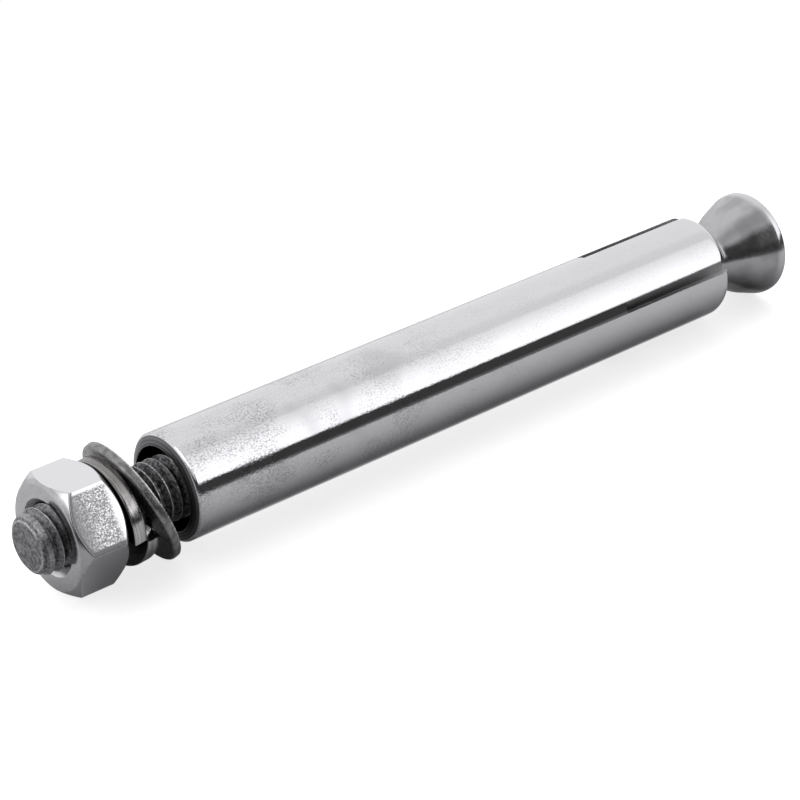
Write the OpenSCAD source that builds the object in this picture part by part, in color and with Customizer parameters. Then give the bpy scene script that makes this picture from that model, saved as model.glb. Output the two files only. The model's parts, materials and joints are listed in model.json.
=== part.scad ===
// Sleeve anchor bolt: a threaded stud with a flared head, a slotted expansion
// sleeve, a plain washer, a split spring washer and a hexagon nut.
// It lies on its side along +X with the flared head last, and rests on the low
// edge of its leaning plain washer and on the rim of its head.
// Lengths are in millimetres. Along the bolt they are counted from the stud's tip.

/* [Stud] */
// Diameter over the thread's crests, drawn as a plain cylinder
thread_d = 5.85; // [5:0.05:8]
// Length of the threaded part
thread_l = 42; // [24:1:60]
// How much thinner the plain shank is than the thread's crests
shank_drop = 0.55; // [0:0.05:1]
// How much narrower the flat at the tip is than the thread's crests
tip_drop = 1.35; // [0.4:0.05:2]
// Length of the chamfer behind the tip
tip_chamfer = 1.25; // [0.4:0.05:1.6]
// Length of the stud left showing beyond the nut
stub_l = 2.05; // [0.5:0.05:6]

/* [Flared head] */
// How much wider the head's rim is than the sleeve
head_over = 0.3; // [-0.4:0.05:0.5]
// Slope of the flare's first cone, which leaves the shank
flare_angle = 32; // [24:1:40]
// Length of that first cone
flare_l = 2.65; // [1:0.05:3]
// Slope of the second cone, which runs on to the rim
rim_angle = 19; // [12:1:24]
// Radius of the rounding between the two cones
flare_blend = 5; // [1:0.5:8]
// Rounding of the rim
head_round = 0.55; // [0.2:0.05:1]
// Radius of the fillet where the flare leaves the shank
neck_round = 2; // [0.5:0.1:4]

/* [Expansion sleeve] */
// Radial play of its bore round the thread
sleeve_play = 0.975; // [0.3:0.025:2]
// Wall; its outside is the size of the drilled hole
sleeve_wall = 1.1; // [0.8:0.05:1.8]
// Overall length
sleeve_l = 64.2; // [40:0.5:90]
// How far the near end face stands out at the bore
face_crown = 0.33; // [0:0.01:0.6]
// Chamfer outside the near end face
edge_chamfer = 0.25; // [0.1:0.05:0.6]
// Length of the rounded nose at the far end
nose_l = 1.1; // [0.5:0.1:2]
// How far the nose turns in
nose_drop = 0.6; // [0.2:0.05:0.8]
// Number of slots that free the expanding fingers
slot_count = 4; // [2:1:6]
// Width of each slot
slot_w = 1.1; // [0.6:0.1:2]
// Length of each slot
slot_l = 13.9; // [8:0.1:30]
// Place of the first slot round the bolt, from +Y towards +Z
slot_turn = 68; // [0:1:90]

/* [Hexagon nut] */
// Width across the flats
nut_af = 9.9; // [8:0.1:13]
// Height
nut_h = 4.95; // [3:0.05:7]
// How much narrower than the flats the round end faces are
nut_face_drop = 0.3; // [0.1:0.05:1]
// Slope of the corner chamfers from the end faces
nut_chamfer_angle = 43; // [15:1:50]
// Depth of the countersink in each face
nut_sink = 0.5; // [0.1:0.05:0.8]
// Place of one corner round the bolt, from +Y towards +Z
nut_turn = 54.9; // [0:0.1:60]

/* [Spring washer] */
// How much wider its bore is than the thread
spring_play = 0.35; // [0.3:0.05:1]
// Radial width of the wire
spring_w = 1.95; // [1:0.05:3]
// Thickness of the wire along the bolt
spring_t = 1.28; // [0.8:0.02:2]
// How far the coil climbs in a full turn
spring_rise = 1.37; // [0.4:0.01:2]
// Place of the split round the bolt, from +Y towards +Z
split_turn = 186.5; // [0:0.5:359]
// Opening of the split in degrees
split_gap = 4; // [1:1:12]
// Rounding of the wire's edges
spring_edge = 0.16; // [0.05:0.01:0.4]
// How far the top leans towards the nut, in degrees
spring_lean = 4; // [0:0.5:5]
// How far the washer is turned sideways, in degrees
spring_yaw = 3.2; // [0:0.1:4]

/* [Plain washer] */
// How far its rim stands out beyond the sleeve all round
washer_rim = 1.05; // [0.8:0.05:4]
// How much wider its hole is than the thread
washer_play = 1.05; // [0.4:0.05:1.6]
// Thickness
washer_t = 0.85; // [0.5:0.05:2]
// Rounding of the punched edge on the nut's side
washer_round = 0.2; // [0.05:0.05:0.4]
// How far the top leans towards the nut, in degrees
washer_lean = 19.8; // [0:0.1:21]
// How far the washer is turned sideways, in degrees
washer_yaw = -1.2; // [-5:0.1:5]

/* [Fits] */
// Gap left where the loose pieces lie against each other
seat_gap = 0.03; // [0.02:0.01:0.1]
// Radial play of the nut's bore on the stand-in for the thread
thread_play = 0.05; // [0.02:0.01:0.1]
// Length free between the plain washer's low edge and the sleeve
sleeve_gap = 0.86; // [0.3:0.05:3]
// Length free between the sleeve and the start of the flare
flare_gap = 1.75; // [0.5:0.05:4]

/* [Hidden] */
$fn = 96;
// Straight pieces in the drawing of an arc
arc_steps = 8;
// How far a cutting solid reaches past what it cuts
cut = 1;

thread_r = thread_d / 2;
shank_r = (thread_d - shank_drop) / 2;
tip_r = (thread_d - tip_drop) / 2;
sleeve_bore_r = thread_r + sleeve_play;
sleeve_r = sleeve_bore_r + sleeve_wall;
head_r = sleeve_r + head_over / 2;
washer_r = sleeve_r + washer_rim;
washer_bore = thread_d + washer_play;

// Points of an arc, for profiles written as [radius, length]
function arc(centre, radius, from, to) =
    [for (i = [0:arc_steps])
        let (a = from + (to - from) * i / arc_steps)
        centre + radius * [cos(a), sin(a)]];

// A point leaned about Y and then turned about Z
function leaned(p, lean, yaw) =
    let (x = p.x * cos(lean) - p.z * sin(lean),
         z = p.x * sin(lean) + p.z * cos(lean))
    [x * cos(yaw) - p.y * sin(yaw), x * sin(yaw) + p.y * cos(yaw), z];

// Nut
nut_start = stub_l;
nut_end = nut_start + nut_h;
nut_bore_r = thread_r + thread_play;

// Spring washer: a rectangular wire with chamfered edges, wound left-handed,
// with a section of the wire every few degrees
coil_step = 4;
coil_sweep = 360 - split_gap;
coil_steps = floor(coil_sweep / coil_step);
coil_first = split_turn - split_gap / 2;
coil_h = spring_t + spring_rise * coil_sweep / 360;
spring_in = (thread_d + spring_play) / 2;
spring_out = spring_in + spring_w;
wire = [
    [spring_in + spring_edge, 0], [spring_out - spring_edge, 0],
    [spring_out, spring_edge], [spring_out, spring_t - spring_edge],
    [spring_out - spring_edge, spring_t], [spring_in + spring_edge, spring_t],
    [spring_in, spring_t - spring_edge], [spring_in, spring_edge]];
coil_points =
    [for (i = [0:coil_steps])
        let (turned = coil_sweep * i / coil_steps,
             a = coil_first - turned,
             x = spring_rise * turned / 360 - coil_h / 2)
        for (q = wire)
            leaned([x + q[1], q[0] * cos(a), q[0] * sin(a)], spring_lean, spring_yaw)];
spring_x = nut_end + seat_gap - min([for (p = coil_points) p.x]);

// Plain washer: pushed up by what the bolt lies on until its hole meets the
// underside of the stud, with its front face against the spring washer
jam_lean = acos((thread_d + 2 * seat_gap) / norm([washer_bore, washer_t]))
    - atan2(washer_t, washer_bore);
lean = min(washer_lean, jam_lean);
washer_lift = (washer_bore * cos(lean) - washer_t * sin(lean)) / 2 - thread_r - seat_gap;
washer_normal = leaned([1, 0, 0], lean, washer_yaw);
washer_x = (washer_t / 2 + seat_gap) / washer_normal.x
    + max([for (p = coil_points)
        spring_x + p.x
        + (washer_normal.y * p.y + washer_normal.z * (p.z - washer_lift)) / washer_normal.x]);
washer_low_x = washer_x + washer_t / 2 * cos(lean) + washer_r * sin(lean);

// Sleeve and flare
sleeve_x = washer_low_x + sleeve_gap;
flare_x = sleeve_x + sleeve_l + flare_gap;
nose_r = (nose_l * nose_l + nose_drop * nose_drop) / (2 * nose_drop);
nose_sweep = 2 * atan2(nose_drop, nose_l);

// The flare's two cones meet at a corner, and the second one touches the rim's arc
flare_corner = [shank_r + flare_l * tan(flare_angle), flare_x + flare_l];
rim_r = head_r - head_round;
rim_run = (rim_r + head_round * cos(rim_angle) - flare_corner[0]) / tan(rim_angle);
rim_centre = [rim_r, flare_corner[1] + rim_run + head_round * sin(rim_angle)];
stud_l = rim_centre[1] + head_round;
blend_run = flare_blend * tan((flare_angle - rim_angle) / 2);
blend_centre = flare_corner
    - blend_run * [sin(flare_angle), cos(flare_angle)]
    - flare_blend * [cos(flare_angle), -sin(flare_angle)];

// The two rounded edges that touch the ground, as centres [x, depth below the axis]
foot_washer = let (u = washer_round - washer_t / 2, v = washer_r - washer_round)
    [washer_x + u * cos(lean) + v * sin(lean), v * cos(lean) - u * sin(lean) - washer_lift];
foot_head = [rim_centre[1], rim_centre[0]];
feet_run = foot_head.x - foot_washer.x;
feet_drop = foot_washer.y - foot_head.y;
tilt = acos((head_round - washer_round) / norm([feet_run, feet_drop]))
    - atan2(feet_run, feet_drop);
axis_height = foot_washer.x * sin(tilt) + foot_washer.y * cos(tilt) + washer_round;
middle_x = stud_l * cos(tilt) / 2;

// Lays the bolt on the ground, with the origin below the middle of its length
module laid() {
    translate([-middle_x, 0, axis_height])
        rotate([0, tilt, 0])
            children();
}

// Turns a profile of [radius, length] points about the bolt's axis
module turned(profile) {
    rotate([0, 90, 0])
        rotate_extrude()
            polygon(profile);
}

module stud() {
    neck_run = neck_round * tan(flare_angle / 2);
    neck = arc([shank_r + neck_round, flare_x - neck_run], neck_round, 180, 180 - flare_angle);
    blend = arc(blend_centre, flare_blend, -flare_angle, -rim_angle);
    rim = arc(rim_centre, head_round, -rim_angle, 90);
    taper_l = thread_r - shank_r;
    color("silver")
        laid()
            turned(concat(
                [[0, 0], [tip_r, 0], [thread_r, tip_chamfer],
                 [thread_r, thread_l], [shank_r, thread_l + taper_l]],
                neck, blend, rim, [[0, stud_l]]));
}

module sleeve() {
    nose_start = sleeve_l - nose_l;
    nose = arc([sleeve_r - nose_r, nose_start], nose_r, 0, nose_sweep);
    color("gainsboro")
        laid()
            translate([sleeve_x, 0, 0])
                difference() {
                    turned(concat(
                        [[sleeve_bore_r, 0],
                         [sleeve_r - edge_chamfer, face_crown],
                         [sleeve_r, face_crown + edge_chamfer]],
                        nose, [[sleeve_bore_r, sleeve_l]]));
                    for (i = [0:slot_count - 1])
                        rotate([slot_turn + i * 360 / slot_count, 0, 0])
                            translate([sleeve_l - slot_l, 0, -slot_w / 2])
                                cube([slot_l + cut, sleeve_r + cut, slot_w]);
                }
}

module plain_washer() {
    half_t = washer_t / 2;
    bore_r = washer_bore / 2;
    edge = arc([washer_r - washer_round, washer_round - half_t], washer_round, -90, 0);
    color("darkgray")
        laid()
            translate([washer_x, 0, washer_lift])
                rotate([0, -lean, washer_yaw])
                    turned(concat(
                        [[bore_r, -half_t]], edge,
                        [[washer_r, half_t], [bore_r, half_t]]));
}

module spring_washer() {
    sides = len(wire);
    color("lightgray")
        laid()
            translate([spring_x, 0, 0])
                polyhedron(
                    points = coil_points,
                    faces = concat(
                        [[for (k = [0:sides - 1]) k]],
                        [for (i = [0:coil_steps - 1])
                            for (k = [0:sides - 1])
                                let (a = i * sides + k, b = i * sides + (k + 1) % sides)
                                [a, a + sides, b + sides, b]],
                        [[for (k = [sides - 1:-1:0]) coil_steps * sides + k]]));
}

module nut() {
    corner_r = nut_af / 2 / cos(30);
    face_r = (nut_af - nut_face_drop) / 2;
    sink_r = nut_bore_r + nut_sink;
    bevel_r = corner_r + cut;
    bevel_l = (bevel_r - face_r) * tan(nut_chamfer_angle);
    color("whitesmoke")
        laid()
            translate([nut_start, 0, 0])
                intersection() {
                    rotate([nut_turn + 90, 0, 0])
                        rotate([0, 90, 0])
                            difference() {
                                cylinder(r = corner_r, h = nut_h, $fn = 6);
                                translate([0, 0, -cut])
                                    cylinder(r = nut_bore_r, h = nut_h + 2 * cut);
                            }
                    turned([
                        [nut_bore_r, nut_sink], [sink_r, 0], [face_r, 0],
                        [bevel_r, bevel_l], [bevel_r, nut_h - bevel_l],
                        [face_r, nut_h], [sink_r, nut_h], [nut_bore_r, nut_h - nut_sink]]);
                }
}

stud();
sleeve();
plain_washer();
spring_washer();
nut();
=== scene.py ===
import json
import math
import bpy
from mathutils import Matrix, Vector


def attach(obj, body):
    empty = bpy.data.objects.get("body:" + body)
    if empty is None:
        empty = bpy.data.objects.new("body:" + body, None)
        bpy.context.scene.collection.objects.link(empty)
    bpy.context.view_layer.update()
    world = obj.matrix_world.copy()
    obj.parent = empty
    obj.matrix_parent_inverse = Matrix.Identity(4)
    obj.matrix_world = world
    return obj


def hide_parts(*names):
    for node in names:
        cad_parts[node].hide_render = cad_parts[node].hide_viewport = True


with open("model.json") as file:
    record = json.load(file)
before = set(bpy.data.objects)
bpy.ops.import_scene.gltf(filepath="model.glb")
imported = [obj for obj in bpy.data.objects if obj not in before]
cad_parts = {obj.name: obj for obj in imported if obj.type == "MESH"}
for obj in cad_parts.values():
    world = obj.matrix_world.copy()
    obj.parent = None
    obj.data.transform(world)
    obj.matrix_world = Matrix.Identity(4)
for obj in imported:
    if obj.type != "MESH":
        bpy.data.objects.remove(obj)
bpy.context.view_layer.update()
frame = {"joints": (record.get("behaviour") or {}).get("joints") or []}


# Stud: a stainless bar with a rolled M6 thread at its free end and a cold-forged
# flared head. The thread is a groove wound round the blank. Each piece is drawn in
# millimetres along X from the stud's tip, then laid where the bolt's axis runs.
crest_r = 2.925
shank_r = 2.65
tip_r = 2.25
point_r = 2.56
point_l = 0.28
tip_chamfer = 1.25
thread_l = 42.0
stud_l = 85.5156
flare_x = 79.7721
flare_l = 2.65
flare_angle = 32
flare_blend = 5.0
rim_angle = 19
head_r = 5.15
rim_round = 0.94
rim_land = 0.2
head_round = 0.3
neck_round = 2.0
pitch = 1.0
groove_turns = 43
groove_start = -1.22
groove_root_r = 2.39
groove_root_w = 0.06
groove_mouth_w = 0.472
groove_clear_r = 3.1
groove_clear_w = 0.48
# Painted shade: the thread is darker beyond the nut than at its lit point.
shaded_thread_greys = ((0.04, 0.039, 0.041), (0.19, 0.187, 0.191))
lit_point_greys = ((0.12, 0.118, 0.124), (0.3, 0.296, 0.306))
# Rubbed crests with a painted highlight, also used round the tip's flat.
rubbed_crest_highlight_grey = (0.66, 0.655, 0.66)
forged_greys = ((0.4, 0.397, 0.404), (0.5, 0.496, 0.504))
pressed_greys = ((0.4, 0.397, 0.404), (0.48, 0.476, 0.484))
# Rubbed rim with a painted highlight.
rubbed_rim_highlight_grey = (0.66, 0.656, 0.665)
# Painted shade low on the head.
painted_underside_shade_grey = (0.1, 0.099, 0.101)
neck_grey = (0.42, 0.418, 0.423)
nut_middle = 4.525
nut_joint = next(joint for joint in frame["joints"] if joint["name"] == "nut_turn")
bolt_axis = Vector(nut_joint["axis"]).normalized()
tip_place = Vector(nut_joint["pos_m"]) - bolt_axis * nut_middle / 1000
laid = (
    Matrix.Translation(tip_place)
    @ Vector((1, 0, 0)).rotation_difference(bolt_axis).to_matrix().to_4x4()
    @ Matrix.Scale(0.001, 4)
)


def arc(centre, radius, start, end, steps=8):
    """Points (radius, length) of an arc in a turned outline, with its angles in degrees."""
    angles = [math.radians(start + (end - start) * i / steps) for i in range(steps + 1)]
    return [
        (centre[0] + radius * math.cos(a), centre[1] + radius * math.sin(a)) for a in angles
    ]


def wind(name, outline, steps=128, sweep=360.0, rise=0.0, rounds=1):
    """Draws an outline of (radius, length) points and turns or winds it about the X axis."""
    bpy.ops.object.select_all(action="DESELECT")
    bpy.ops.mesh.primitive_plane_add(size=1)
    piece = bpy.context.object
    piece.name = name
    piece.data.name = name
    bpy.ops.object.mode_set(mode="EDIT")
    bpy.ops.mesh.select_all(action="SELECT")
    bpy.ops.mesh.merge(type="CENTER")
    bpy.ops.transform.translate(value=(outline[0][1], outline[0][0], 0))
    for here, there in zip(outline, outline[1:]):
        step = (there[1] - here[1], there[0] - here[0], 0)
        bpy.ops.mesh.extrude_vertices_move(TRANSFORM_OT_translate={"value": step})
    bpy.ops.mesh.select_all(action="SELECT")
    bpy.ops.mesh.remove_doubles(threshold=0.001)
    bpy.ops.object.mode_set(mode="OBJECT")
    screw = piece.modifiers.new("Wind", "SCREW")
    screw.axis = "X"
    screw.angle = math.radians(sweep)
    screw.screw_offset = rise
    screw.iterations = rounds
    screw.steps = steps
    screw.render_steps = steps
    bpy.ops.object.modifier_apply(modifier=screw.name)
    bpy.ops.object.mode_set(mode="EDIT")
    bpy.ops.mesh.select_all(action="SELECT")
    bpy.ops.mesh.remove_doubles(threshold=0.001)
    bpy.ops.mesh.fill_holes(sides=0)
    bpy.ops.mesh.select_all(action="SELECT")
    bpy.ops.mesh.normals_make_consistent(inside=False)
    bpy.ops.object.mode_set(mode="OBJECT")
    return piece


def carve(piece, tool, how="DIFFERENCE"):
    """Cuts a piece with a tool, or keeps what both share, then merges coinciding corners."""
    cut = piece.modifiers.new("Carve", "BOOLEAN")
    cut.operation = how
    cut.solver = "EXACT"
    cut.object = tool
    bpy.context.view_layer.objects.active = piece
    bpy.ops.object.modifier_apply(modifier=cut.name)
    bpy.data.objects.remove(tool)
    bpy.ops.object.mode_set(mode="EDIT")
    bpy.ops.mesh.select_all(action="SELECT")
    bpy.ops.mesh.remove_doubles(threshold=0.0001)
    bpy.ops.object.mode_set(mode="OBJECT")


def lay(piece, smoother_than=35):
    """Puts a finished piece where it lies, and shades it with its flats kept flat."""
    piece.data.transform(laid)
    bpy.ops.object.select_all(action="DESELECT")
    piece.select_set(True)
    bpy.context.view_layer.objects.active = piece
    bpy.ops.object.shade_smooth_by_angle(angle=math.radians(smoother_than))
    flats = piece.modifiers.new("Flats", "WEIGHTED_NORMAL")
    flats.keep_sharp = True
    bpy.ops.object.modifier_apply(modifier=flats.name)


def add(tree, kind, settings=None, **inputs):
    """Adds a shader node, with its settings and with its inputs set or joined."""
    node = tree.nodes.new(kind)
    for key, value in (settings or {}).items():
        setattr(node, key, value)
    for key, value in inputs.items():
        by_number = key[1:].isdigit()
        socket = node.inputs[int(key[1:]) if by_number else key.replace("_", " ")]
        if isinstance(value, bpy.types.NodeSocket):
            tree.links.new(value, socket)
        else:
            socket.default_value = value
    return node


def steel(name):
    """A bare metal material, its tree, its shader and its Object coordinates."""
    material = bpy.data.materials.new(name)
    material.use_nodes = True
    tree = material.node_tree
    shader = tree.nodes["Principled BSDF"]
    shader.inputs["Metallic"].default_value = 1.0
    place = add(tree, "ShaderNodeTexCoord").outputs["Object"]
    return material, tree, shader, place


def grain(tree, place, size, detail=2.0, stretch=(1.0, 1.0, 1.0)):
    """Noise whose grains have a size in millimetres; stretch makes them longer along an axis."""
    scale = [1000 / size / s for s in stretch]
    spread = add(tree, "ShaderNodeMapping", Vector=place, Scale=scale)
    noise = add(
        tree, "ShaderNodeTexNoise", Vector=spread.outputs["Vector"], Scale=1.0, Detail=detail
    )
    return noise.outputs["Fac"]


def rings(tree, length, per_mm, detail):
    """Noise that changes with one length alone: turned rings, or lines along a wire."""
    noise = add(
        tree,
        "ShaderNodeTexNoise",
        {"noise_dimensions": "1D"},
        W=length,
        Scale=per_mm * 1000,
        Detail=detail,
    )
    return noise.outputs["Fac"]


def between(tree, amount, start=0.0, end=1.0, low=0.0, high=1.0):
    """Goes smoothly from low to high as an amount goes from start to end, and no further."""
    ranged = add(
        tree,
        "ShaderNodeMapRange",
        {"interpolation_type": "SMOOTHSTEP"},
        Value=amount,
        From_Min=start,
        From_Max=end,
        To_Min=low,
        To_Max=high,
    )
    return ranged.outputs["Result"]


def reach(tree, length, start, end, low=0.0, high=1.0):
    """Like between, for a length, with its start and end in millimetres."""
    return between(tree, length, start / 1000, end / 1000, low, high)


def work(tree, how, first, second=0.0, third=0.0):
    """One step of arithmetic on two or three numbers."""
    step = add(tree, "ShaderNodeMath", {"operation": how}, _0=first, _1=second, _2=third)
    return step.outputs["Value"]


def both(tree, *amounts):
    """The product of some amounts from 0 to 1: where all of them are there."""
    product = amounts[0]
    for amount in amounts[1:]:
        product = work(tree, "MULTIPLY", product, amount)
    return product


def tint(tree, amount, dark, light):
    """A colour between two, each a colour or a socket, by an amount from 0 to 1."""
    mix = add(tree, "ShaderNodeMix", {"data_type": "RGBA"}, Factor=amount)
    for number, colour in ((6, dark), (7, light)):
        if isinstance(colour, bpy.types.NodeSocket):
            tree.links.new(colour, mix.inputs[number])
        else:
            mix.inputs[number].default_value = (*colour, 1)
    return mix.outputs[2]


def finish(tree, shader, colour, roughness):
    """Gives the shader its colour and its roughness, which may be the same all over."""
    tree.links.new(colour, shader.inputs["Base Color"])
    if isinstance(roughness, bpy.types.NodeSocket):
        tree.links.new(roughness, shader.inputs["Roughness"])
    else:
        shader.inputs["Roughness"].default_value = roughness


def relief(tree, shader, height, depth, strength=1.0):
    """Bump from a height of 0 to 1 that stands for a depth in millimetres."""
    bump = add(
        tree, "ShaderNodeBump", Height=height, Strength=strength, Distance=depth / 1000
    )
    tree.links.new(bump.outputs["Normal"], shader.inputs["Normal"])


def round_axis(tree, place, middle=tip_place, axis=bolt_axis):
    """How far a point lies along an axis, and how far from it, in metres."""
    vector = "ShaderNodeVectorMath"
    centred = add(tree, vector, {"operation": "SUBTRACT"}, _0=place, _1=middle).outputs["Vector"]
    along = add(tree, vector, {"operation": "DOT_PRODUCT"}, _0=centred, _1=axis)
    across = add(tree, vector, {"operation": "CROSS_PRODUCT"}, _0=centred, _1=axis)
    radius = add(tree, vector, {"operation": "LENGTH"}, _0=across.outputs["Vector"])
    return along.outputs["Value"], radius.outputs["Value"]


def upward(tree, vector):
    """How far a vector goes up: a place's height in metres, or a normal's upward part."""
    return add(tree, "ShaderNodeSeparateXYZ", Vector=vector).outputs["Z"]


# The thread has painted shade beyond the nut, and rubbed crests and a tip ring with painted
# highlights.
thread_steel, tree, shader, place = steel("Rolled thread steel")
along, radius = round_axis(tree, place)
mottle = grain(tree, place, size=0.3, detail=3.0)
specks = grain(tree, place, size=0.12, detail=1.0)
soil_and_shade = between(tree, mottle, 0.36, 0.64)
shaded_thread = tint(tree, soil_and_shade, *shaded_thread_greys)
lit_point_metal = tint(tree, soil_and_shade, *lit_point_greys)
# Painted shade: darker greys beyond the nut, where the thread runs between the parts.
ground = tint(tree, reach(tree, along, 6, 8), lit_point_metal, shaded_thread)
point_slope = (crest_r - point_r) / (tip_chamfer - point_l)
point_start = (point_r - point_slope * point_l) / 1000
point = work(tree, "MULTIPLY_ADD", along, point_slope, point_start)
blank = work(tree, "MINIMUM", point, crest_r / 1000)
below_crest = work(tree, "SUBTRACT", blank, radius)
crest = both(
    tree,
    reach(tree, below_crest, 0.02, 0.05, 1.0, 0.0),
    reach(tree, along, 1.0, 1.5, 0.4, 1.0),
)
# Painted highlight: a bright ring round the tip's flat.
tip_ring_highlight = both(
    tree,
    reach(tree, radius, tip_r - 0.12, tip_r - 0.06),
    reach(tree, along, 0.07, 0.13, 1.0, 0.0),
)
# The crests are rubbed bright, and both they and the tip ring carry a painted highlight.
rubbed_and_highlit = both(
    tree,
    work(tree, "MAXIMUM", crest, tip_ring_highlight),
    between(tree, specks, 0.4, 0.58, 0.15, 1.0),
)
finish(
    tree, shader, tint(tree, rubbed_and_highlit, ground, rubbed_crest_highlight_grey), between(tree, rubbed_and_highlit, low=0.42, high=0.22)
)
relief(tree, shader, specks, depth=0.02)

# The head is satin, with a rubbed rim and painted highlight, painted shade low down, and a turned
# end face.
head_steel, tree, shader, place = steel("Forged head steel")
along, radius = round_axis(tree, place)
mottle = grain(tree, place, size=1.6, detail=1.0, stretch=(1.4, 1.0, 1.0))
specks = grain(tree, place, size=0.2, detail=2.0)
cloud = between(tree, mottle, 0.34, 0.66)
end_rings = between(tree, rings(tree, radius, per_mm=2.5, detail=3.0), 0.36, 0.64)
end_face = reach(tree, along, stud_l - 0.1, stud_l - 0.03)
faced = tint(
    tree, end_face, tint(tree, cloud, *forged_greys), tint(tree, end_rings, *pressed_greys)
)
flared = reach(tree, along, flare_x - 1.5, flare_x)
# The rim is rubbed bright and also carries a painted highlight.
rim = reach(tree, radius, head_r - 0.2, head_r - 0.02)
# Painted shade: the head darkens towards the floor, apart from its end face.
out_of_painted_shade = work(
    tree,
    "MAXIMUM",
    reach(tree, upward(tree, place), 0.2, 6.2),
    reach(tree, along, stud_l - 0.3, stud_l - 0.05),
)
headed = tint(tree, out_of_painted_shade, painted_underside_shade_grey, tint(tree, rim, faced, rubbed_rim_highlight_grey))
satin = between(tree, specks, 0.35, 0.65, 0.15, 0.22)
finish(
    tree,
    shader,
    tint(tree, flared, neck_grey, headed),
    work(tree, "MAXIMUM", satin, between(tree, flared, low=0.5, high=0.1)),
)
relief(tree, shader, specks, depth=0.0012)

flare_corner = (shank_r + flare_l * math.tan(math.radians(flare_angle)), flare_x + flare_l)
blend_run = flare_blend * math.tan(math.radians(flare_angle - rim_angle) / 2)
flare_sine = math.sin(math.radians(flare_angle))
flare_cosine = math.cos(math.radians(flare_angle))
blend_centre = (
    flare_corner[0] - blend_run * flare_sine - flare_blend * flare_cosine,
    flare_corner[1] - blend_run * flare_cosine + flare_blend * flare_sine,
)
neck_run = neck_round * math.tan(math.radians(flare_angle / 2))
neck_centre = (shank_r + neck_round, flare_x - neck_run)
rim_start = stud_l - head_round - rim_land
blank_outline = [
    (0, 0),
    (tip_r - 0.08, 0),
    (tip_r, 0.06),
    (point_r - 0.03, point_l - 0.04),
    (point_r + 0.02, point_l + 0.04),
    (crest_r, tip_chamfer),
    (crest_r, thread_l),
    (shank_r, thread_l + crest_r - shank_r),
]
blank_outline += arc(neck_centre, neck_round, 180, 180 - flare_angle)
blank_outline += arc(blend_centre, flare_blend, -flare_angle, -rim_angle)
blank_outline += arc((head_r - rim_round, rim_start), rim_round, -rim_angle, 0)
blank_outline += arc((head_r - head_round, stud_l - head_round), head_round, 0, 90)
blank_outline += [(0, stud_l)]
stud = wind("threaded_stud", blank_outline, steps=96)
groove = [
    (groove_root_r, -groove_root_w),
    (groove_root_r, groove_root_w),
    (crest_r, groove_mouth_w),
    (groove_clear_r, groove_clear_w),
    (groove_clear_r, -groove_clear_w),
    (crest_r, -groove_mouth_w),
    (groove_root_r, -groove_root_w),
]
cutter = wind(
    "groove",
    [(r, x + groove_start) for r, x in groove],
    steps=48,
    rise=pitch,
    rounds=groove_turns,
)
carve(stud, cutter)
stud.data.materials.append(head_steel)
stud.data.materials.append(thread_steel)
for face in stud.data.polygons:
    if face.center.x < thread_l + 0.3:
        face.material_index = 1
lay(stud)
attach(stud, "stud")
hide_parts("stud")


# Expansion sleeve: a drawn stainless tube, crowned at its near end and rounded at the
# far one, where four sawn slots free the fingers that the flared head spreads.
# It is bright outside, scuffed towards the near end, and turned at its end face.
sleeve_x = 13.8221
sleeve_l = 64.2
sleeve_r = 5.0
sleeve_bore_r = 3.9
bore_chamfer = 0.05
face_crown = 0.33
edge_chamfer = 0.25
nose_l = 1.1
nose_drop = 0.6
slot_l = 13.9
slot_w = 1.1
slot_turn = 68
slot_count = 4
saw_over = 1
saw_deep = 4
saw_middle = 4.5
tube_greys = ((0.735, 0.732, 0.745), (0.44, 0.437, 0.45))
turned_greys = ((0.1, 0.099, 0.103), (0.21, 0.208, 0.214))
sawn_greys = ((0.4, 0.396, 0.402), (0.6, 0.595, 0.602))


def break_edges(piece, width, segments):
    """Rounds every edge that is sharper than 30 degrees."""
    bevel = piece.modifiers.new("Break", "BEVEL")
    bevel.width = width
    bevel.segments = segments
    bevel.limit_method = "ANGLE"
    bevel.angle_limit = math.radians(30)
    bpy.context.view_layer.objects.active = piece
    bpy.ops.object.modifier_apply(modifier=bevel.name)


def end_faces(piece, slot, lowest, to_x=math.inf):
    """Gives a slot to the faces that look along the bolt's axis, as far as a place on it."""
    for face in piece.data.polygons:
        if abs(face.normal.x) > lowest and face.center.x < to_x:
            face.material_index = slot


tube_steel, tree, shader, place = steel("Bright tube steel")
along, _ = round_axis(tree, place)
fine = grain(tree, place, size=0.12, detail=1.0, stretch=(1.6, 1.0, 1.0))
patches = grain(tree, place, size=2.6, detail=3.0, stretch=(1.8, 1.0, 1.0))
clouds = grain(tree, place, size=7.0, detail=2.0)
scuffed = reach(tree, along, 22, 62, 1.0, 0.16)
worn = both(tree, scuffed, between(tree, patches, 0.4, 0.62, 0.25, 1.0))
speckle = both(tree, worn, between(tree, fine, 0.42, 0.66))
dull = both(tree, scuffed, between(tree, clouds, 0.5, 0.66, 0.0, 0.55))
marked = work(tree, "MAXIMUM", speckle, dull)
scratched = reach(tree, along, 34, 66, 0.4, 0.0)
finish(tree, shader, tint(tree, marked, *tube_greys), between(tree, worn, low=0.06, high=0.09))
relief(tree, shader, fine, depth=0.008, strength=work(tree, "MAXIMUM", worn, scratched))

turned_steel, tree, shader, place = steel("Turned face steel")
_, radius = round_axis(tree, place)
turned = rings(tree, radius, per_mm=6.5, detail=2.0)
lines = between(tree, turned, 0.35, 0.7)
finish(tree, shader, tint(tree, lines, *turned_greys), 0.3)
relief(tree, shader, turned, depth=0.004)

sawn_steel, tree, shader, place = steel("Sawn slot steel")
marks = grain(tree, place, size=0.12, detail=2.0, stretch=(1.0, 1.0, 4.0))
lines = between(tree, marks, 0.35, 0.65)
finish(tree, shader, tint(tree, lines, *sawn_greys), 0.32)
relief(tree, shader, marks, depth=0.006)

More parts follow.
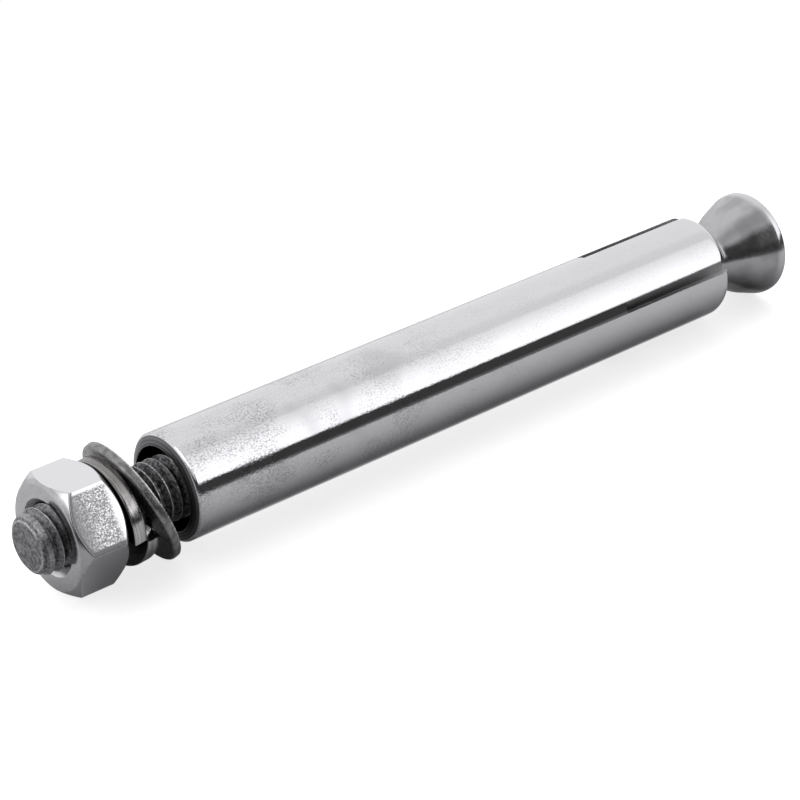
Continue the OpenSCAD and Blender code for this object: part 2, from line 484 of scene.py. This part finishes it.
nose_r = (nose_l * nose_l + nose_drop * nose_drop) / (2 * nose_drop)
nose_sweep = 2 * math.degrees(math.atan2(nose_drop, nose_l))
sleeve_end = sleeve_x + sleeve_l
tube_outline = [
    (sleeve_bore_r, sleeve_x + bore_chamfer),
    (sleeve_bore_r + bore_chamfer, sleeve_x),
    (sleeve_r - edge_chamfer, sleeve_x + face_crown),
    (sleeve_r, sleeve_x + face_crown + edge_chamfer),
]
tube_outline += arc((sleeve_r - nose_r, sleeve_end - nose_l), nose_r, 0, nose_sweep)
tube_outline += [(sleeve_bore_r, sleeve_end), (sleeve_bore_r, sleeve_x + bore_chamfer)]
sleeve = wind("slotted_sleeve", tube_outline)
for slot in range(slot_count):
    bpy.ops.object.select_all(action="DESELECT")
    bpy.ops.mesh.primitive_cube_add(size=1)
    saw = bpy.context.object
    turn = Matrix.Rotation(math.radians(slot_turn + 360 / slot_count * slot), 4, "X")
    block = Matrix.Diagonal((slot_l + saw_over, saw_deep, slot_w, 1))
    at = Matrix.Translation((sleeve_end - slot_l + (slot_l + saw_over) / 2, saw_middle, 0))
    saw.data.transform(turn @ at @ block)
    carve(sleeve, saw)
for metal in (tube_steel, turned_steel, sawn_steel):
    sleeve.data.materials.append(metal)
end_faces(sleeve, 1, lowest=0.7, to_x=sleeve_x + 0.4)
for face in sleeve.data.polygons:
    outwards = Vector((0, face.center.y, face.center.z)).normalized()
    if face.center.x > sleeve_x + 1 and abs(face.normal.dot(outwards)) < 0.2:
        face.material_index = 2
break_edges(sleeve, 0.04, segments=1)
lay(sleeve)
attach(sleeve, "sleeve")
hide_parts("sleeve")


# Plain washer: punched from stainless sheet, so that one edge is rolled over and the
# other is sharp and rubbed bright. It hangs loose and leans against the spring washer,
# and the lower part of its near face is darkened with painted shade.
flat_middle = Vector((10.5129, 0, 0.147))
flat_lean = 19.8
flat_yaw = -1.2
flat_r = 6.05
flat_bore_r = 3.45
flat_bore_break = 0.06
flat_t = 0.85
flat_round = 0.32
flat_burr = 0.16
sheet_greys = ((0.2, 0.195, 0.197), (0.33, 0.323, 0.325))
burr_grey = (0.78, 0.77, 0.77)
# Painted shade on the lower near face.
near_face_shade_grey = (0.09, 0.088, 0.09)
flat_turn = Matrix.Rotation(math.radians(flat_yaw), 4, "Z") @ Matrix.Rotation(
    math.radians(-flat_lean), 4, "Y"
)

sheet_steel, tree, shader, place = steel("Punched sheet steel")
flat_axis = (laid.to_3x3() @ flat_turn.to_3x3() @ Vector((1, 0, 0))).normalized()
along, _ = round_axis(tree, place, laid @ flat_middle, flat_axis)
mottle = grain(tree, place, size=0.6, detail=3.0)
specks = grain(tree, place, size=0.14, detail=1.0)
sheet = tint(tree, between(tree, mottle, 0.36, 0.64), *sheet_greys)
burr = both(
    tree,
    reach(tree, along, 0.22, 0.32),
    between(tree, specks, 0.4, 0.58, 0.2, 1.0),
)
# Painted shade low on the near face.
soil_and_shade = both(
    tree,
    reach(tree, along, -0.42, -0.36, 1.0, 0.0),
    reach(tree, upward(tree, place), 4, 7, 1.0, 0.0),
)
edged = tint(tree, burr, sheet, burr_grey)
finish(
    tree,
    shader,
    tint(tree, soil_and_shade, edged, near_face_shade_grey),
    between(tree, specks, 0.35, 0.65, 0.26, 0.4),
)
relief(tree, shader, specks, depth=0.014)

half_t = flat_t / 2
disc_outline = [(flat_bore_r + flat_bore_break, -half_t)]
disc_outline += arc((flat_r - flat_round, flat_round - half_t), flat_round, -90, 0)
disc_outline += arc((flat_r - flat_burr, half_t - flat_burr), flat_burr, 0, 90, 5)
disc_outline += [
    (flat_bore_r, half_t),
    (flat_bore_r, flat_bore_break - half_t),
    (flat_bore_r + flat_bore_break, -half_t),
]
flat_washer = wind("flat_washer", disc_outline)
flat_washer.data.transform(Matrix.Translation(flat_middle) @ flat_turn)
flat_washer.data.materials.append(sheet_steel)
lay(flat_washer)
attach(flat_washer, "plain_washer")
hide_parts("plain_washer")


# Spring washer: one turn of flat stainless wire, wound against the thread's hand and
# cut square, so that its two ends stand a wire's thickness apart. Its top is browner and
# darker with painted shade, and the faces that it seats on have painted shade.
coil_x = 8.329
coil_in = 3.1
coil_w = 1.95
coil_t = 1.28
coil_rise = 1.37
coil_gap = 4
coil_turn = 186.5
coil_edge = 0.16
coil_lean = 4
coil_yaw = 3.2
coil_sweep = 360 - coil_gap
wire_greys = ((0.4, 0.392, 0.39), (0.74, 0.735, 0.73))
# Painted shade on the washer's top.
top_shade_browns = ((0.17, 0.158, 0.155), (0.34, 0.327, 0.323))
# Painted shade on the seating faces.
seat_shade_grey = (0.1, 0.098, 0.097)
coil_frame = (
    Matrix.Translation((coil_x, 0, 0))
    @ Matrix.Rotation(math.radians(coil_yaw), 4, "Z")
    @ Matrix.Rotation(math.radians(-coil_lean), 4, "Y")
    @ Matrix.Rotation(math.radians(coil_turn - coil_gap / 2), 4, "X")
)


def squareness(tree, axis):
    """How squarely a face looks along an axis, either way, from 0 to 1."""
    normal = add(tree, "ShaderNodeTexCoord").outputs["Normal"]
    slope = add(
        tree, "ShaderNodeVectorMath", {"operation": "DOT_PRODUCT"}, _0=normal, _1=axis
    )
    return work(tree, "ABSOLUTE", slope.outputs["Value"])


wire_steel, tree, shader, place = steel("Rolled wire steel")
coil_axis = (laid.to_3x3() @ coil_frame.to_3x3() @ Vector((1, 0, 0))).normalized()
along, _ = round_axis(tree, place, laid @ Vector((coil_x, 0, 0)), coil_axis)
mottle = grain(tree, place, size=0.7, detail=3.0)
streaks = grain(tree, place, size=0.12, detail=1.0, stretch=(1.0, 5.0, 5.0))
wander = work(tree, "MULTIPLY_ADD", mottle, 0.00025, along)
lines = between(tree, rings(tree, wander, per_mm=5.0, detail=2.0), 0.34, 0.66)
# Painted shade: darker and browner towards the top.
uneven = work(tree, "MULTIPLY_ADD", mottle, 0.004, upward(tree, place))
top_shade = reach(tree, uneven, 9.2, 11.8)
rolled = tint(
    tree, top_shade, tint(tree, lines, *wire_greys), tint(tree, lines, *top_shade_browns)
)
# Painted shade on the faces that look along the washer's axis, where it seats.
seat_shade = between(tree, squareness(tree, coil_axis), 0.6, 0.9)
finish(
    tree,
    shader,
    tint(tree, seat_shade, rolled, seat_shade_grey),
    between(tree, mottle, 0.4, 0.6, 0.24, 0.12),
)
relief(tree, shader, streaks, depth=0.006)

coil_climb = coil_rise * coil_sweep / 360
coil_h = coil_t + coil_climb
inner = coil_in + coil_edge
outer = coil_in + coil_w - coil_edge
wire_outline = arc((inner, coil_edge), coil_edge, 180, 270, 3)
wire_outline += arc((outer, coil_edge), coil_edge, 270, 360, 3)
wire_outline += arc((outer, coil_t - coil_edge), coil_edge, 0, 90, 3)
wire_outline += arc((inner, coil_t - coil_edge), coil_edge, 90, 180, 3)
wire_outline += wire_outline[:1]
split_washer = wind(
    "split_washer",
    [(r, x - coil_h / 2) for r, x in wire_outline],
    steps=120,
    sweep=-coil_sweep,
    rise=coil_climb,
)
split_washer.data.transform(coil_frame)
split_washer.data.materials.append(wire_steel)
lay(split_washer)
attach(split_washer, "spring_washer")
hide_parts("spring_washer")


# Hexagon nut: cold-formed stainless steel, chamfered on both faces, with an M6 thread
# tapped through it. Its upper flats are finely pitted between smooth borders, and a
# dark line of painted shade shows where they meet the chamfer.
nut_x = 2.05
nut_h = 4.95
nut_af = 9.9
nut_face_r = 4.8
nut_chamfer = 43
nut_corner = 54.9
nut_bore_r = 2.5
nut_sink_r = 3.475
nut_sink = 0.95
thread_play = 0.035
tap_clear_r = 3.03
tap_clear_w = 0.08
tap_crest_r = 2.38
tap_crest_w = 0.455
tap_turns = 9
crystals_per_mm = 9
pit_greys = ((0.19, 0.188, 0.194), (0.9, 0.898, 0.904))
flat_greys = ((0.79, 0.788, 0.8), (0.95, 0.948, 0.955))
# Painted shade in the crease and along the lower border.
crease_shade_grey = (0.13, 0.129, 0.132)
chamfer_greys = ((0.44, 0.438, 0.447), (0.5, 0.498, 0.507))
face_greys = ((0.5, 0.498, 0.508), (0.56, 0.558, 0.568))
# Painted highlight on the chamfer's top corner.
corner_highlight_grey = (0.66, 0.658, 0.668)
tapped_greys = ((0.14, 0.138, 0.142), (0.28, 0.277, 0.282))
# Painted highlight low in the bore.
tap_highlight_grey = (0.8, 0.796, 0.804)
nut_end = nut_x + nut_h

formed_steel, tree, shader, place = steel("Formed nut steel")
along, radius = round_axis(tree, place)
height = upward(tree, place)
upright = upward(tree, add(tree, "ShaderNodeTexCoord").outputs["Normal"])
scattered = add(tree, "ShaderNodeMapping", Vector=place, Scale=(crystals_per_mm * 1000,) * 3)
crystals = add(tree, "ShaderNodeTexVoronoi", Vector=scattered.outputs["Vector"], Scale=1.0)
chance = add(tree, "ShaderNodeSeparateColor", Color=crystals.outputs["Color"]).outputs["Red"]
fine = grain(tree, place, size=0.14, detail=2.0)
sides = both(
    tree,
    between(tree, upright, 0.0, 0.2),
    between(tree, upright, 0.75, 0.9, 1.0, 0.0),
)
upper_border = both(tree, reach(tree, radius, 5.5, 5.62), reach(tree, height, 7.5, 8.5))
inset = both(
    tree,
    reach(tree, along, nut_end - 1.25, nut_end - 0.3, 1.0, 0.0),
    work(tree, "SUBTRACT", 1.0, upper_border),
)
pitted = both(tree, inset, sides)
duller = reach(tree, along, nut_x + 0.3, nut_x + 2.7, 0.12, 1.0)
bits = both(tree, between(tree, fine, 0.36, 0.6), chance, duller)
# The side flats are lighter below the nut's top and darker on it.
lighter_below_top = both(tree, sides, reach(tree, height, 9.2, 10.4, 1.0, 0.0))
flats = tint(
    tree, pitted, tint(tree, lighter_below_top, *flat_greys), tint(tree, bits, *pit_greys)
)
cone_slope = math.tan(math.radians(nut_chamfer))
cone_start = nut_x - nut_face_r * cone_slope
past_cone = work(tree, "SUBTRACT", along, work(tree, "MULTIPLY", radius, cone_slope))
# Painted shade: a dark line where the flats meet the chamfer, and along their lower border.
crease_shade = reach(tree, past_cone, cone_start + 0.16, cone_start + 0.42, 1.0, 0.0)
lower_border_shade = both(
    tree,
    reach(tree, radius, 5.46, 5.56),
    reach(tree, height, 6.8, 7.5, 1.0, 0.0),
)
shaded = both(tree, work(tree, "MAXIMUM", crease_shade, lower_border_shade), sides)
finish(
    tree,
    shader,
    tint(tree, shaded, flats, crease_shade_grey),
    between(tree, pitted, low=0.13, high=0.2),
)
relief(tree, shader, fine, depth=0.02, strength=pitted)

smooth_steel, tree, shader, place = steel("Smooth chamfer steel")
_, radius = round_axis(tree, place)
specks = grain(tree, place, size=0.3, detail=2.0)
cloud = between(tree, specks, 0.38, 0.62)
end_on = between(tree, squareness(tree, bolt_axis), 0.8, 0.97)
ends = tint(tree, end_on, tint(tree, cloud, *chamfer_greys), tint(tree, cloud, *face_greys))
# Painted highlight on the chamfer at the nut's top corner.
top_corner_highlight = both(
    tree,
    reach(tree, radius, 5.05, 5.25),
    reach(tree, upward(tree, place), 9.3, 10.1),
)
finish(tree, shader, tint(tree, top_corner_highlight, ends, corner_highlight_grey), 0.2)
relief(tree, shader, specks, depth=0.001)

tapped_steel, tree, shader, place = steel("Tapped thread steel")
specks = grain(tree, place, size=0.13, detail=1.0)
tapped = tint(tree, between(tree, specks, 0.38, 0.62), *tapped_greys)
# Painted highlight on the lowest part of the tapped thread.
lowest_part_highlight = reach(tree, upward(tree, place), 2.6, 3.4, 1.0, 0.0)
finish(tree, shader, tint(tree, lowest_part_highlight, tapped, tap_highlight_grey), 0.34)
relief(tree, shader, specks, depth=0.01)

corner_r = nut_af / 2 / math.cos(math.radians(30))
bpy.ops.object.select_all(action="DESELECT")
bpy.ops.mesh.primitive_cylinder_add(vertices=6, radius=corner_r, depth=nut_h)
nut = bpy.context.object
nut.name = "hex_nut"
nut.data.name = "hex_nut"
nut.data.transform(
    Matrix.Translation((nut_x + nut_h / 2, 0, 0))
    @ Matrix.Rotation(math.radians(nut_corner), 4, "X")
    @ Matrix.Rotation(math.radians(90), 4, "Y")
)
over_r = corner_r + 1
over_l = (over_r - nut_face_r) * math.tan(math.radians(nut_chamfer))
chamfers = wind(
    "chamfers",
    [
        (0, nut_x),
        (nut_face_r, nut_x),
        (over_r, nut_x + over_l),
        (over_r, nut_end - over_l),
        (nut_face_r, nut_end),
        (0, nut_end),
    ],
)
carve(nut, chamfers, "INTERSECT")
break_edges(nut, 0.16, segments=3)
near_side = [
    (0, -1),
    (nut_sink_r + 0.1, -1),
    (nut_sink_r + 0.1, 0),
    (nut_sink_r + 0.02, 0.03),
    (nut_sink_r - 0.07, 0.1),
    (nut_bore_r, nut_sink),
]
drill = wind(
    "drill",
    [(r, nut_x + x) for r, x in near_side] + [(r, nut_end - x) for r, x in reversed(near_side)],
)
carve(nut, drill)
tap = [
    (tap_clear_r, -tap_clear_w - thread_play),
    (tap_crest_r, -tap_crest_w - thread_play),
    (tap_crest_r, tap_crest_w + thread_play),
    (tap_clear_r, tap_clear_w + thread_play),
    (tap_clear_r, -tap_clear_w - thread_play),
]
tap_tool = wind(
    "tap",
    [(r, x + groove_start + pitch / 2) for r, x in tap],
    steps=48,
    rise=pitch,
    rounds=tap_turns,
)
carve(nut, tap_tool)
for metal in (formed_steel, smooth_steel, tapped_steel):
    nut.data.materials.append(metal)
end_faces(nut, 1, lowest=0.1)
for face in nut.data.polygons:
    if abs(face.normal.x) < 0.98 and math.hypot(face.center.y, face.center.z) < nut_sink_r:
        face.material_index = 2
lay(nut)
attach(nut, "nut")
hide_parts("nut")


# Floor: a pale table top, white to the camera apart from the bolt's shadow, and paler
# towards the back, with painted shade in its darker front. In the metal it has no glow,
# but for a strip in front of the bolt.
floor_r = 0.09
shaded_front_colour = (0.72, 0.72, 0.725)
back_colour = (0.95, 0.95, 0.955)
camera_glow = 0.74


def choose(tree, switch, off, on):
    """A number between two, each a number or a socket, by a switch from 0 to 1."""
    mix = add(tree, "ShaderNodeMix", {"data_type": "FLOAT"}, Factor=switch, _2=off, _3=on)
    return mix.outputs[0]


bpy.ops.object.select_all(action="DESELECT")
bpy.ops.mesh.primitive_circle_add(vertices=96, radius=floor_r, fill_type="NGON")
floor = bpy.context.object
floor.name = "table_top"
table_white = bpy.data.materials.new("Table white")
table_white.use_nodes = True
tree = table_white.node_tree
tree.nodes.remove(tree.nodes["Principled BSDF"])
place = add(tree, "ShaderNodeTexCoord").outputs["Object"]
parts = add(tree, "ShaderNodeSeparateXYZ", Vector=place)
depth = parts.outputs["Y"]
# Painted shade: the floor is darker in front of the bolt.
pale = reach(tree, depth, -4, 20)
matt = add(tree, "ShaderNodeBsdfDiffuse", Color=tint(tree, pale, shaded_front_colour, back_colour))
ray = add(tree, "ShaderNodeLightPath")
seen = work(tree, "MULTIPLY", ray.outputs["Is Camera Ray"], camera_glow)
strip = both(
    tree,
    reach(tree, depth, -3.4, -2.3, 0.0, 0.2),
    reach(tree, parts.outputs["X"], -28, -24),
    reach(tree, depth, 1, 4, 1.0, 0.0),
)
mirrored = both(tree, ray.outputs["Is Glossy Ray"], strip)
glow = add(
    tree,
    "ShaderNodeEmission",
    Color=(1, 1, 1, 1),
    Strength=work(tree, "MAXIMUM", seen, mirrored),
)
lit = add(tree, "ShaderNodeAddShader", _0=matt.outputs["BSDF"], _1=glow.outputs["Emission"])
tree.links.new(lit.outputs["Shader"], tree.nodes["Material Output"].inputs["Surface"])
floor.data.materials.append(table_white)

# Light: a white studio, brighter behind than in front. In the metal it shows a soft box
# to the front and right, the unlit side of the room and a high window to the left, and
# dark cloth low in front that draws the sleeve's dark band, with a faint glow below it.
backdrop_white = 1.02
daylight = (0.985, 0.985, 1, 1)

world = bpy.data.worlds.new("Studio")
bpy.context.scene.world = world
world.use_nodes = True
tree = world.node_tree
# A direction is told by how far it points to the right, to the back and up, from -1 to 1.
direction = add(tree, "ShaderNodeTexCoord").outputs["Generated"]
parts = add(tree, "ShaderNodeSeparateXYZ", Vector=direction)
sideways = parts.outputs["X"]
depth = parts.outputs["Y"]
height = parts.outputs["Z"]
soft_box = both(
    tree,
    between(tree, depth, -0.75, -0.1, 1.5, 1.02),
    between(tree, depth, -0.2, -0.09, 1.0, 0.84),
)
back_wall = between(tree, depth, 0.03, 0.3, 1.0, 1.11)
studio = both(tree, soft_box, back_wall)
to_right = between(tree, between(tree, sideways, 0.05, 0.4))
unlit_side = both(
    tree,
    between(tree, depth, -0.3, 0.2, 0.5, 1.0),
    between(tree, depth, -0.72, -0.48, 0.1, 1.0),
)
dimming = choose(tree, to_right, unlit_side, 1.0)
above_cloth = between(tree, height, 0.276, 0.304)
past_cloth = between(tree, depth, -0.1, 0.15)
clear = work(tree, "MAXIMUM", above_cloth, past_cloth)
level = both(tree, studio, dimming, clear)
window = both(
    tree,
    between(tree, sideways, -0.7, -0.55, 1.3, 0.0),
    between(tree, height, 0.48, 0.58),
    between(tree, depth, 0.25, 0.42, 1.0, 0.0),
)
low_glow = between(tree, height, -0.056, 0.02, 0.16, 0.05)
in_metal = work(tree, "MAXIMUM", work(tree, "ADD", level, window), low_glow)
on_floor = between(tree, depth, -0.3, 0.3, 0.2, 1.35)
ray = add(tree, "ShaderNodeLightPath")
lighting = choose(tree, ray.outputs["Is Glossy Ray"], on_floor, in_metal)
strength = choose(tree, ray.outputs["Is Camera Ray"], lighting, backdrop_white)
tree.links.new(strength, tree.nodes["Background"].inputs["Strength"])
tree.nodes["Background"].inputs["Color"].default_value = daylight
bpy.context.scene.view_settings.view_transform = "Standard"

# Camera: the photograph's place, beyond the nut and above the bolt, in millimetres
# from the stud's tip, with its right, up and back directions.
camera_place = Vector((-100.303, -166.465, 125.982))
camera_right = Vector((0.764157, -0.645030, 0))
camera_back = Vector((-0.557103, -0.659991, 0.504032))
camera_up = camera_back.cross(camera_right)

camera_data = bpy.data.cameras.new("Camera")
camera_data.sensor_width = 36
camera_data.lens = 125.377
camera_data.clip_start = 0.01
camera = bpy.data.objects.new("Camera", camera_data)
bpy.context.collection.objects.link(camera)
camera_turn = Matrix((camera_right, camera_up, camera_back)).transposed().to_4x4()
bolt_turn = (laid @ Matrix.Scale(1000, 4)).to_3x3().to_4x4()
camera.matrix_world = Matrix.Translation(laid @ camera_place) @ (bolt_turn @ camera_turn)
bpy.context.scene.camera = camera
